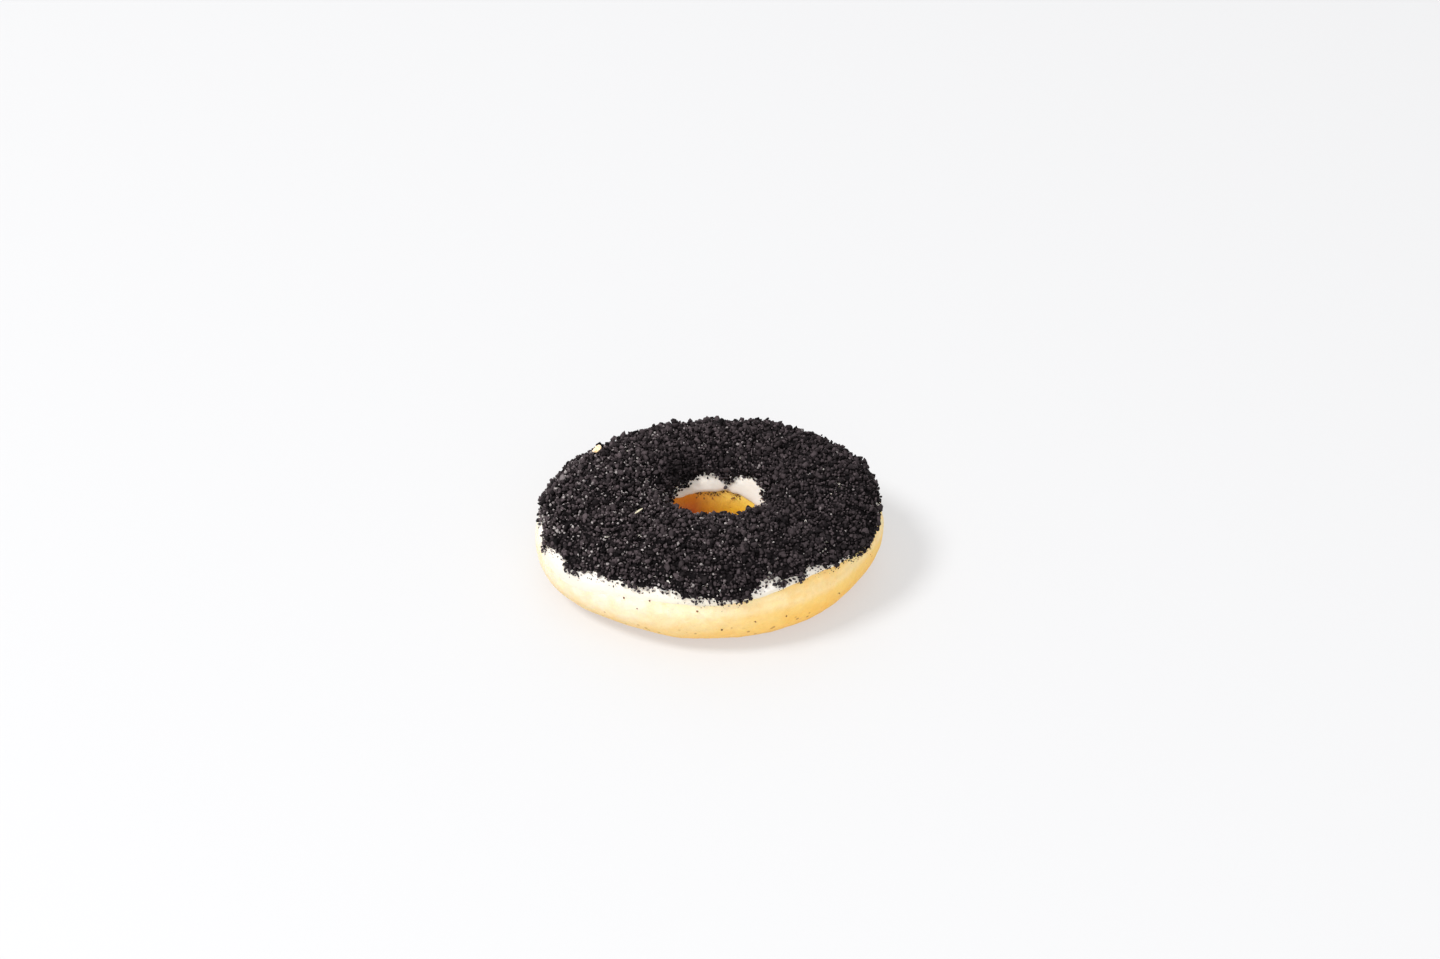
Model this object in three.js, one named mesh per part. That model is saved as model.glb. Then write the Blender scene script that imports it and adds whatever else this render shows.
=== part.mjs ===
// An iced ring doughnut under a bed of dark biscuit crumbs.
// Millimetres, +Z up. The origin is at the bottom centre, on the surface that the doughnut rests on.
// +X runs along the long side of the oval ring, and the front is at -Y.
import * as THREE from 'three';

// The ring of dough, seen from above: an oval, with an oval hole that sits behind the middle.
const RING_HALF_WIDTH = 45.2;
const RING_HALF_DEPTH = 35.9;
const OUTLINE_SKEW = 0.034;
const OUTLINE_TRIANGLE = 0.014;
const HOLE_HALF_WIDTH = 12.2;
const HOLE_HALF_DEPTH = 7.6;
const HOLE_OFFSET_X = 1.95;
const HOLE_OFFSET_Y = 3.45;

// The section through the ring: a squarish oval, cut flat where the doughnut rests.
const DOUGH_HEIGHT = 24.6;
const SECTION_POWER = 2.4;
const BASE_CUT = 0.4;

// The layers over the dough, measured along the normal of its surface.
const LAYER_GAP = 0.3;
const ICING_THICKNESS = 0.6;
const CRUMB_THICKNESS = 1.3;
const LUMP_HEIGHT = 0.3;
const ICING_LIFT = LAYER_GAP;
const CRUMB_LIFT = ICING_LIFT + ICING_THICKNESS + LAYER_GAP;

// Where the layers end, as tilts above the widest level of the ring, in degrees.
const CRUMB_OUTER_TILT = 27;
const CRUMB_SCALLOP = 5.5;
const CRUMB_NOTCH = { turn: 305, rise: 4 };
const CRUMB_INNER_TILT = 27;
const CRUMB_INNER_RISE = 8;
const ICING_OUTER_TILT = 24;
const ICING_SCALLOP = 4;
const ICING_LEFT_DROP = 12;
const ICING_LEFT_TURN = 205;
const ICING_INNER_TILT = 14;
const ICING_INNER_RISE = 7;
const HOLE_BACK_TURN = 85;

// The share of a layer's breadth over which its rim is rounded.
const RIM_SHARE = 0.12;

// Fineness of the ring-shaped meshes.
const TURN_STEPS = 80;
const DOUGH_STEPS = 24;
const ICING_STEPS = 10;
const CRUMB_STEPS = 13;

// Small separate pieces. Turn runs counter-clockwise from +X and tilt runs up from the
// widest level of the ring, over the top and into the hole, both in degrees.
const CRUMB_CLUMPS = [
  { turn: 91, tilt: 60, size: [3.0, 2.2, 1.2] },
  { turn: 69, tilt: 60, size: [2.6, 2.0, 1.1] },
  { turn: 236, tilt: 50, size: [2.4, 1.9, 1.2] },
  { turn: 281, tilt: 46, size: [2.8, 2.1, 1.3] },
  { turn: 318, tilt: 60, size: [2.2, 1.8, 1.2] },
];
const STRAY_CRUMBS = [
  { turn: 241, tilt: 13, size: 0.7 },
  { turn: 250, tilt: 17, size: 0.7 },
  { turn: 246, tilt: 4, size: 0.5 },
  { turn: 266, tilt: 10, size: 0.8 },
  { turn: 285, tilt: -5, size: 0.6 },
  { turn: 296, tilt: -7, size: 0.6 },
  { turn: 274, tilt: -12, size: 0.6 },
  { turn: 320, tilt: -9, size: 0.6 },
  { turn: 107, tilt: 172, size: 0.7 },
];
const PALE_CHIP = { turn: 145, tilt: 62, size: [3.8, 2.6, 1.1] };
const PALE_SLIVER = { turn: 221, tilt: 98, size: [0.6, 2.5, 0.5] };

const DOUGH_FINISH = { color: '#e9b75c', roughness: 0.62, metalness: 0 };
const ICING_FINISH = { color: '#fbf6ef', roughness: 0.38, metalness: 0 };
const CRUMB_FINISH = { color: '#2f2a28', roughness: 0.85, metalness: 0 };
const CHIP_FINISH = { color: '#eec79a', roughness: 0.6, metalness: 0 };
const SLIVER_FINISH = { color: '#c8b98a', roughness: 0.6, metalness: 0 };

const radians = THREE.MathUtils.degToRad;

// A power that keeps the sign of its base, which squares off the oval of the section.
function signedPower(base, power) {
  return Math.sign(base) * Math.abs(base) ** power;
}

// The point of the ring at a turn and a tilt, in radians, lifted off the dough along its normal.
function ringPoint(turn, tilt, lift) {
  const wave = 1 + OUTLINE_SKEW * Math.sin(2 * turn) - OUTLINE_TRIANGLE * Math.cos(3 * turn);
  const outer = new THREE.Vector2(RING_HALF_WIDTH * Math.cos(turn), RING_HALF_DEPTH * Math.sin(turn));
  outer.multiplyScalar(wave);
  const inner = new THREE.Vector2(
    HOLE_OFFSET_X + HOLE_HALF_WIDTH * Math.cos(turn),
    HOLE_OFFSET_Y + HOLE_HALF_DEPTH * Math.sin(turn),
  );
  const outward = outer.clone().sub(inner);
  const halfWidth = outward.length() / 2;
  outward.normalize();

  const middleHeight = DOUGH_HEIGHT / 2;
  const across = signedPower(Math.cos(tilt), 2 / SECTION_POWER);
  const up = signedPower(Math.sin(tilt), 2 / SECTION_POWER);
  const halfHeight = up > 0 ? middleHeight : middleHeight + BASE_CUT;
  const normal = new THREE.Vector2(
    signedPower(across, SECTION_POWER - 1) / halfWidth,
    signedPower(up, SECTION_POWER - 1) / halfHeight,
  ).normalize();

  const reach = halfWidth * (1 + across) + lift * normal.x;
  const height = middleHeight + halfHeight * up + lift * normal.y;
  const plan = inner.addScaledVector(outward, reach);
  return new THREE.Vector3(plan.x, plan.y, Math.max(height, 0));
}

// The scallops that the outer edges of the layers share, between -1 and 1.
function scallop(turn) {
  return Math.cos(6 * (turn - radians(248)));
}

// How far a turn faces another one: 1 where they are the same, and 0 from a quarter turn away.
function facing(turn, other) {
  return Math.max(0, Math.cos(turn - radians(other)));
}

// The lower edge of the crumbs on the outside of the ring, a ragged scalloped line with one notch.
function crumbOuterEdge(turn) {
  const notch = CRUMB_NOTCH.rise * facing(turn, CRUMB_NOTCH.turn) ** 20;
  const ragged = Math.sin(17 * turn + 1) + 0.7 * Math.sin(26 * turn + 2.5);
  return radians(CRUMB_OUTER_TILT + CRUMB_SCALLOP * scallop(turn) + notch + ragged);
}

// The lower edge of the crumbs inside the hole, as a tilt past the top of the ring.
function crumbInnerEdge(turn) {
  const rise = CRUMB_INNER_RISE * facing(turn, HOLE_BACK_TURN);
  const ragged = 2 * Math.sin(7 * turn + 0.5) + Math.sin(15 * turn + 2);
  return Math.PI - radians(CRUMB_INNER_TILT + rise + ragged);
}

// The lower edge of the icing on the outside: a little below the crumbs, and lower on the left.
function icingOuterEdge(turn) {
  const leftDrop = ICING_LEFT_DROP * facing(turn, ICING_LEFT_TURN) ** 2;
  return radians(ICING_OUTER_TILT + ICING_SCALLOP * scallop(turn) - leftDrop);
}

// The lower edge of the icing inside the hole.
function icingInnerEdge(turn) {
  const rise = ICING_INNER_RISE * facing(turn, HOLE_BACK_TURN);
  return Math.PI - radians(ICING_INNER_TILT + rise + Math.sin(5 * turn));
}

// The thickness of the bed of crumbs, which lies in low lumps.
function crumbThickness(turn, tilt) {
  const broad = Math.sin(9 * turn + 3 * tilt) * Math.cos(4 * tilt - 2 * turn);
  const fine = Math.sin(19 * turn - 5 * tilt) * Math.sin(7 * tilt + turn);
  return CRUMB_THICKNESS + LUMP_HEIGHT * (0.6 * broad + 0.4 * fine);
}

// The level of whatever lies uppermost at a turn and a tilt, as a lift off the dough.
function topLevel(turn, tilt) {
  if (tilt > crumbOuterEdge(turn) && tilt < crumbInnerEdge(turn)) {
    return CRUMB_LIFT + crumbThickness(turn, tilt);
  }
  if (tilt > icingOuterEdge(turn) && tilt < icingInnerEdge(turn)) {
    return ICING_LIFT + ICING_THICKNESS;
  }
  return 0;
}

// A closed solid swept round the ring. sectionAt(turn) gives the points of one closed section,
// counter-clockwise as seen with the outside of the ring on the right.
function sweptRing(sectionAt) {
  const positions = [];
  let sectionSize = 0;
  for (let step = 0; step < TURN_STEPS; step += 1) {
    const section = sectionAt((2 * Math.PI * step) / TURN_STEPS);
    sectionSize = section.length;
    section.forEach((point) => positions.push(point.x, point.y, point.z));
  }

  const triangles = [];
  for (let step = 0; step < TURN_STEPS; step += 1) {
    const here = step * sectionSize;
    const next = ((step + 1) % TURN_STEPS) * sectionSize;
    for (let corner = 0; corner < sectionSize; corner += 1) {
      const after = (corner + 1) % sectionSize;
      triangles.push(here + corner, next + corner, next + after);
      triangles.push(here + corner, next + after, here + after);
    }
  }

  const geometry = new THREE.BufferGeometry();
  geometry.setAttribute('position', new THREE.Float32BufferAttribute(positions, 3));
  geometry.setIndex(triangles);
  geometry.computeVertexNormals();
  return geometry;
}

// The whole ring of dough, with the flat that it rests on.
function doughGeometry() {
  return sweptRing((turn) => {
    const section = [];
    for (let step = 0; step < DOUGH_STEPS; step += 1) {
      section.push(ringPoint(turn, (2 * Math.PI * step) / DOUGH_STEPS, 0));
    }
    return section;
  });
}

// A layer that lies over the top of the ring between two edges and thins to a rounded rim.
// thicknessAt(turn, tilt) is its full thickness there.
function layerGeometry(steps, lift, outerEdge, innerEdge, thicknessAt) {
  return sweptRing((turn) => {
    const start = outerEdge(turn);
    const end = innerEdge(turn);
    const section = [];
    for (let step = 0; step <= steps; step += 1) {
      const share = step / steps;
      const tilt = start + (end - start) * share;
      const fromRim = Math.min(share, 1 - share, RIM_SHARE) / RIM_SHARE;
      const rounding = Math.sqrt(1 - (1 - fromRim) ** 2);
      section.push(ringPoint(turn, tilt, lift + thicknessAt(turn, tilt) * rounding));
    }
    for (let step = steps - 1; step > 0; step -= 1) {
      section.push(ringPoint(turn, start + ((end - start) * step) / steps, lift));
    }
    return section;
  });
}

function icingGeometry() {
  return layerGeometry(ICING_STEPS, ICING_LIFT, icingOuterEdge, icingInnerEdge, () => ICING_THICKNESS);
}

function crumbGeometry() {
  return layerGeometry(CRUMB_STEPS, CRUMB_LIFT, crumbOuterEdge, crumbInnerEdge, crumbThickness);
}

// An uneven grain of the given length, width and height. The seed changes its shape.
function grainGeometry([length, width, height], seed) {
  const geometry = new THREE.IcosahedronGeometry(0.5, 1);
  const position = geometry.getAttribute('position');
  const corner = new THREE.Vector3();
  for (let index = 0; index < position.count; index += 1) {
    corner.fromBufferAttribute(position, index);
    const dent = Math.sin(5 * corner.x + seed) * Math.cos(6 * corner.y - seed) + Math.sin(7 * corner.z + 2 * seed);
    corner.multiplyScalar(1 + 0.12 * dent);
    position.setXYZ(index, corner.x * length, corner.y * width, corner.z * height);
  }
  geometry.computeVertexNormals();
  return geometry;
}

// A grain that rests on the ring, with its length along the ring, its width across it and its
// height along the normal.
function restingGrain(name, place, size, finish, seed) {
  const turn = radians(place.turn);
  const tilt = radians(place.tilt);
  const lift = topLevel(turn, tilt);
  const foot = ringPoint(turn, tilt, lift);
  const up = ringPoint(turn, tilt, lift + 1).sub(foot).normalize();
  const along = ringPoint(turn + 0.01, tilt, lift).sub(foot).projectOnPlane(up).normalize();
  const across = new THREE.Vector3().crossVectors(up, along);

  const grain = pieceMesh(name, grainGeometry(size, seed), finish);
  grain.quaternion.setFromRotationMatrix(new THREE.Matrix4().makeBasis(along, across, up));
  grain.geometry.computeBoundingBox();
  const sink = grain.geometry.boundingBox.min.z;
  grain.position.copy(foot).addScaledVector(up, LAYER_GAP - sink);
  return grain;
}

function pieceMesh(name, geometry, finish) {
  const mesh = new THREE.Mesh(geometry, new THREE.MeshStandardMaterial(finish));
  mesh.name = name;
  return mesh;
}

const pieces = new THREE.Group();
pieces.add(pieceMesh('dough_ring', doughGeometry(), DOUGH_FINISH));
pieces.add(pieceMesh('icing', icingGeometry(), ICING_FINISH));
pieces.add(pieceMesh('crumb_topping', crumbGeometry(), CRUMB_FINISH));

CRUMB_CLUMPS.forEach((clump, index) => {
  const name = `crumb_clump_${index + 1}`;
  pieces.add(restingGrain(name, clump, clump.size, CRUMB_FINISH, index + 1));
});

STRAY_CRUMBS.forEach((crumb, index) => {
  const name = `stray_crumb_${index + 1}`;
  const size = [crumb.size, 0.8 * crumb.size, 0.7 * crumb.size];
  pieces.add(restingGrain(name, crumb, size, CRUMB_FINISH, 3 * index + 2));
});

pieces.add(restingGrain('pale_chip', PALE_CHIP, PALE_CHIP.size, CHIP_FINISH, 4));
pieces.add(restingGrain('pale_sliver', PALE_SLIVER, PALE_SLIVER.size, SLIVER_FINISH, 7));

// The oval isn't quite even, so the pieces are moved together until the outline is centred.
const outlineBox = new THREE.Box3().setFromObject(pieces, true);
const outlineCentre = outlineBox.getCenter(new THREE.Vector3());
pieces.position.set(-outlineCentre.x, -outlineCentre.y, 0);

const doughnut = new THREE.Group();
doughnut.add(pieces);

export default doughnut;
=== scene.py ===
"""A ring doughnut: golden fried dough, white icing over its upper half and a bed of dark biscuit crumbs.

Lengths are in millimetres until a mesh is made, which turns them into metres. A place on the ring is
given by turn, counter-clockwise from +X seen from above, tilt, from the widest level of the ring over
the top and into the hole, and lift, the distance off the dough along its normal.
"""

import math

import bpy
import numpy as np
from mathutils import Euler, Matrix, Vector


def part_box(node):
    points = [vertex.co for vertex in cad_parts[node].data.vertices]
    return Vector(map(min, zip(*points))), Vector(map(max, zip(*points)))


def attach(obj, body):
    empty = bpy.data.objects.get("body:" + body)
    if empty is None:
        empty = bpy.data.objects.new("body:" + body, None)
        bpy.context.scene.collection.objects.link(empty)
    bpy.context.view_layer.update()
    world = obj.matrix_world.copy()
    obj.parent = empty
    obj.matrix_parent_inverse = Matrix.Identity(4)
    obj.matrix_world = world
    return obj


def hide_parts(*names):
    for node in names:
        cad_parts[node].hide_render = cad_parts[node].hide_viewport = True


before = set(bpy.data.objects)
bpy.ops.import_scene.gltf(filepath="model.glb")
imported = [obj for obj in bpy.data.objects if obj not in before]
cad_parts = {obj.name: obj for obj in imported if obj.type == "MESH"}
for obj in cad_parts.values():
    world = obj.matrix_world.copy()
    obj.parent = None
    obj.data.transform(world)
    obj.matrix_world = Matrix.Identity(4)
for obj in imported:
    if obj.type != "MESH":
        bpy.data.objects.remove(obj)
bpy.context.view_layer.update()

MM = 0.001

# The ring of dough, as the CAD model makes it.
RING_HALF_WIDTH = 45.2
RING_HALF_DEPTH = 35.9
OUTLINE_SKEW = 0.034
OUTLINE_TRIANGLE = 0.014
HOLE_HALF_WIDTH = 12.2
HOLE_HALF_DEPTH = 7.6
HOLE_OFFSET = (1.95, 3.45)
DOUGH_HEIGHT = 24.6
SECTION_POWER = 2.4
BASE_CUT = 0.4
# About how many times wider the ring is than it is deep.
WIDTH_TO_DEPTH = 1.26

# The layers. The icing lies on the dough and the crumbs are pressed into the icing.
ICING_THICKNESS = 0.9
BED_THICKNESS = 0.65
SCALLOP_TURN = math.radians(248)
# Fingers and bays of the crumbs' outer edge: a turn, a width and a drop, all in degrees.
EDGE_FINGERS = (
    (202, 2.5, 4), (214, 4, -5), (228, 5, -6), (240, 3, -2), (246, 1.6, 3),
    (288.5, 3, -12), (292, 3, -4), (294.3, 1.3, 6), (302, 2.5, 3), (319, 4, 8), (331, 3, 5), (342, 8, 8),
)
HOLE_BACK_TURN = 82
ICING_LEFT_TURN = 220


# ---------------------------------------------------------------- noise and small maths

# Large numbers that scramble a whole-number cell and a seed into a value.
CELL_FACTORS = (374761393, 668265263, 2147483647)
SEED_FACTOR = 144665
MIX_FACTOR = 1274126177


def signed_power(base, power):
    return np.sign(base) * np.abs(base) ** power


def smoothstep(low, high, value):
    share = np.clip((value - low) / (high - low), 0, 1)
    return share * share * (3 - 2 * share)


def lattice_value(cell, seed):
    """A repeatable value between -1 and 1 for each whole-number cell."""
    mixed = sum(cell[..., axis] * factor for axis, factor in enumerate(CELL_FACTORS)) + seed * SEED_FACTOR
    mixed = (mixed ^ (mixed >> 13)) * MIX_FACTOR
    mixed = (mixed ^ (mixed >> 16)) & 0xFFFF
    return mixed / 32767.5 - 1


def noise(points, size, seed):
    """Smooth noise between about -1 and 1, whose lumps are about size across."""
    scaled = points / size
    cell = np.floor(scaled).astype(np.int64)
    share = scaled - cell
    share = share * share * share * (share * (share * 6 - 15) + 10)
    total = 0
    for dx in (0, 1):
        for dy in (0, 1):
            for dz in (0, 1):
                corner = cell + np.array((dx, dy, dz))
                weight = np.abs(1 - dx - share[..., 0]) * np.abs(1 - dy - share[..., 1])
                weight = weight * np.abs(1 - dz - share[..., 2])
                total = total + weight * lattice_value(corner, seed)
    return total


def layered_noise(points, size, seed):
    """Noise in three layers, each with lumps half as high and half as large across as the last."""
    total = 0
    for layer in range(3):
        total = total + 0.5**layer * noise(points, size / 2**layer, seed + 31 * layer)
    return total


def full_circle(steps):
    """Evenly spaced angles once round."""
    return np.arange(steps) * 2 * math.pi / steps


def grid(rows, columns):
    return np.meshgrid(rows, columns, indexing="ij")


# ---------------------------------------------------------------- the ring


def raw_ring(turn, tilt, lift):
    """Points of the ring before it is put where the CAD model has it, and the normals there."""
    wave = 1 + OUTLINE_SKEW * np.sin(2 * turn) - OUTLINE_TRIANGLE * np.cos(3 * turn)
    outer = np.stack((RING_HALF_WIDTH * np.cos(turn) * wave, RING_HALF_DEPTH * np.sin(turn) * wave), -1)
    inner = np.stack((
        HOLE_OFFSET[0] + HOLE_HALF_WIDTH * np.cos(turn),
        HOLE_OFFSET[1] + HOLE_HALF_DEPTH * np.sin(turn),
    ), -1)
    span = outer - inner
    half_width = np.linalg.norm(span, axis=-1) / 2
    outward = span / (2 * half_width[..., None])

    middle = DOUGH_HEIGHT / 2
    across = signed_power(np.cos(tilt), 2 / SECTION_POWER)
    up = signed_power(np.sin(tilt), 2 / SECTION_POWER)
    half_height = np.where(up > 0, middle, middle + BASE_CUT)
    normal_out = signed_power(across, SECTION_POWER - 1) / half_width
    normal_up = signed_power(up, SECTION_POWER - 1) / half_height
    length = np.hypot(normal_out, normal_up)
    normal_out, normal_up = normal_out / length, normal_up / length

    reach = half_width * (1 + across) + lift * normal_out
    plan = inner + outward * reach[..., None]
    height = middle + half_height * up + lift * normal_up
    normals = np.concatenate((outward * normal_out[..., None], normal_up[..., None]), -1)
    return np.concatenate((plan, height[..., None]), -1), normals


def box_centre(node):
    """The middle of a CAD node's box."""
    low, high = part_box(node)
    return (np.array(low) + np.array(high)) / 2 / MM


def ring_placing():
    """The shift that puts the raw ring where the CAD model's dough lies."""
    turn, tilt = grid(np.linspace(0, 2 * math.pi, 721), np.linspace(-0.6, 0.6, 25))
    points, _ = raw_ring(turn, tilt, np.zeros_like(turn))
    raw_centre = (points.min(axis=(0, 1)) + points.max(axis=(0, 1))) / 2
    placed = box_centre("dough_ring")
    return np.array((placed[0] - raw_centre[0], placed[1] - raw_centre[1], 0.0))


RING_SHIFT = ring_placing()


def ring_points(turn, tilt, lift=0.0):
    turn, tilt, lift = np.broadcast_arrays(turn, tilt, lift)
    points, normals = raw_ring(turn, tilt, lift)
    return points + RING_SHIFT, normals


def bump_at(turn, centre, width):
    """A smooth bump round the ring, 1 at the centre and about width wide each way, in degrees."""
    away = (np.degrees(turn) - centre + 180) % 360 - 180
    return np.exp(-((away / width) ** 2))


def swell(points):
    """The slow unevenness of hand-laid dough, as a lift."""
    turn = np.arctan2(points[..., 1], points[..., 0])
    outside = smoothstep(30, 42, np.hypot(points[..., 0], WIDTH_TO_DEPTH * points[..., 1]))
    sides = 1.3 * bump_at(turn, 4, 13) - 0.7 * bump_at(turn, 338, 14) - 0.7 * bump_at(turn, 228, 18)
    return 0.28 * noise(points, 19, 5) + 0.12 * noise(points, 8, 6) + sides * outside


# ---------------------------------------------------------------- where the layers end


def ring_noise(turn, size, seed):
    """Noise round the ring, whose lumps are about size degrees across."""
    radius = 180 / math.pi
    circle = np.stack((radius * np.cos(turn), radius * np.sin(turn), np.zeros_like(turn)), -1)
    return noise(circle, size, seed)


def scallop(turn):
    return np.cos(6 * (turn - SCALLOP_TURN))


def facing(turn, other):
    """How far a turn faces another one in degrees: 1 at the same turn, 0 from a quarter turn away."""
    return np.clip(np.cos(turn - math.radians(other)), 0, 1)


def crumb_outer_edge(turn):
    """The tilt at which the crumbs end on the outside, a ragged scalloped line."""
    notch = 4 * facing(turn, 305) ** 20
    fingers = sum(drop * bump_at(turn, centre, width) for centre, width, drop in EDGE_FINGERS)
    ragged = 1.4 * ring_noise(turn, 7, 1) + 1.6 * ring_noise(turn, 3, 2) + 1.2 * ring_noise(turn, 1.4, 3)
    return np.radians(25 + 5.5 * scallop(turn) + notch - fingers + ragged)


def crumb_inner_edge(turn):
    """The tilt at which the crumbs end inside the hole: higher at the back, between three tongues."""
    rise = 9 * facing(turn, HOLE_BACK_TURN) + 3 * bump_at(turn, 52, 10) + 3 * bump_at(turn, 105, 10)
    tongues = 7 * bump_at(turn, 78, 8) + 9 * bump_at(turn, 20, 14) + 10 * bump_at(turn, 168, 17)
    ragged = 1.5 * ring_noise(turn, 22, 11) + 1.5 * ring_noise(turn, 8, 12) + ring_noise(turn, 3, 13)
    return math.pi - np.radians(26 + rise - tongues + ragged)


def icing_outer_edge(turn):
    """The tilt at which the icing ends on the outside, much lower on the left."""
    left = 19 * facing(turn, ICING_LEFT_TURN) ** 3
    wander = 1.2 * ring_noise(turn, 16, 21) + 0.9 * ring_noise(turn, 6, 22) + 0.6 * ring_noise(turn, 2.6, 25)
    return np.radians(23 + 4 * scallop(turn) + 2.5 * facing(turn, 320) - left + wander)


def icing_inner_edge(turn):
    """The tilt at which the icing ends inside the hole."""
    rise = 2.5 * facing(turn, 110) + 3 * bump_at(turn, 80, 8)
    rise = rise - 5 * bump_at(turn, 35, 18) + 6 * bump_at(turn, 160, 20)
    wander = 1.2 * ring_noise(turn, 26, 23) + 0.8 * ring_noise(turn, 9, 24)
    return math.pi - np.radians(13.5 + rise + wander)


# ---------------------------------------------------------------- meshes


def make_mesh(name, points, faces, smooth=True):
    """A mesh object from points in millimetres."""
    mesh = bpy.data.meshes.new(name)
    faces = np.asarray(faces)
    mesh.vertices.add(len(points))
    mesh.vertices.foreach_set("co", (np.asarray(points) * MM).astype(np.float32).ravel())
    corners = faces.shape[1]
    mesh.loops.add(faces.size)
    mesh.loops.foreach_set("vertex_index", faces.astype(np.int32).ravel())
    mesh.polygons.add(len(faces))
    mesh.polygons.foreach_set("loop_start", np.arange(0, faces.size, corners, dtype=np.int32))
    mesh.polygons.foreach_set("loop_total", np.full(len(faces), corners, dtype=np.int32))
    mesh.update(calc_edges=True)
    mesh.polygons.foreach_set("use_smooth", np.full(len(faces), smooth))
    piece = bpy.data.objects.new(name, mesh)
    bpy.context.scene.collection.objects.link(piece)
    return piece


def add_values(piece, name, values):
    """Stores one number a vertex, which the piece's material reads."""
    attribute = piece.data.attributes.new(name, "FLOAT", "POINT")
    attribute.data.foreach_set("value", np.asarray(values, dtype=np.float32).ravel())


def grid_faces(rows, columns):
    """The faces of a grid that closes on itself both ways, outside out."""
    row, column = grid(np.arange(rows), np.arange(columns))
    next_row, next_column = (row + 1) % rows, (column + 1) % columns
    corners = (
        row * columns + column,
        next_row * columns + column,
        next_row * columns + next_column,
        row * columns + next_column,
    )
    return np.stack(corners, -1).reshape(-1, 4)


def add_map(piece, places):
    """Stores the piece's own surface map, one place from 0 to 1 for each corner of each face."""
    layer = piece.data.uv_layers.new(name="OFBake")
    layer.data.foreach_set("uv", np.asarray(places, dtype=np.float32).ravel())


def add_grid_map(piece, rows, columns):
    """Maps a closed grid as one sheet, with its seams at the first row and the first column."""
    row, column = grid(np.arange(rows), np.arange(columns))
    corners = ((row, column), (row + 1, column), (row + 1, column + 1), (row, column + 1))
    places = np.stack([np.stack((x / rows, y / columns), -1) for x, y in corners], axis=2)
    add_map(piece, 0.01 + 0.98 * places)


def make_ring(name, section):
    """A mesh that closes on itself both ways, from one row of points a turn, with its surface map."""
    rows, columns = section.shape[:2]
    piece = make_mesh(name, section.reshape(-1, 3), grid_faces(rows, columns))
    add_grid_map(piece, rows, columns)
    return piece


def finish_piece(piece, slot, material, *nodes):
    """Gives a piece its material and hides the CAD nodes that it takes the place of."""
    piece.data.materials.append(material)
    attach(piece, "root")
    if nodes:
        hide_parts(*nodes)


# ---------------------------------------------------------------- materials

# Colours are linear. A tint is multiplied with what it lies on.
# The pale cream painted on the dough's upper left, where the light falls: painted light.
DOUGH_LIT_CREAM = (0.81, 0.74, 0.61)
DOUGH_PATCH_TINT = (1.0, 0.80, 0.47)
# A deeper golden tint on the right of the crust, away from the light: painted shade.
DOUGH_SHADED_SIDE_TINT = (1.0, 0.84, 0.52)
DOUGH_SPECK = (0.40, 0.15, 0.03)
DOUGH_MARK = (0.40, 0.19, 0.04)
ICING_COLOURS = (0.71, 0.65, 0.57), (0.78, 0.745, 0.69)
ICING_RIM = (0.81, 0.73, 0.59)
ICING_SPECK = (0.16, 0.11, 0.08)
# From dark to light.
CRUMB_COLOURS = (0.0045, 0.0033, 0.0038), (0.094, 0.073, 0.078), (0.42, 0.38, 0.37)
BROWNED_COLOURS = (0.07, 0.03, 0.012), (0.22, 0.10, 0.045), (0.3, 0.16, 0.08)
CHIP_COLOURS = (0.86, 0.50, 0.20), (1.0, 0.86, 0.66)
SLIVER_COLOURS = (0.42, 0.37, 0.22), (0.74, 0.70, 0.52)


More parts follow.
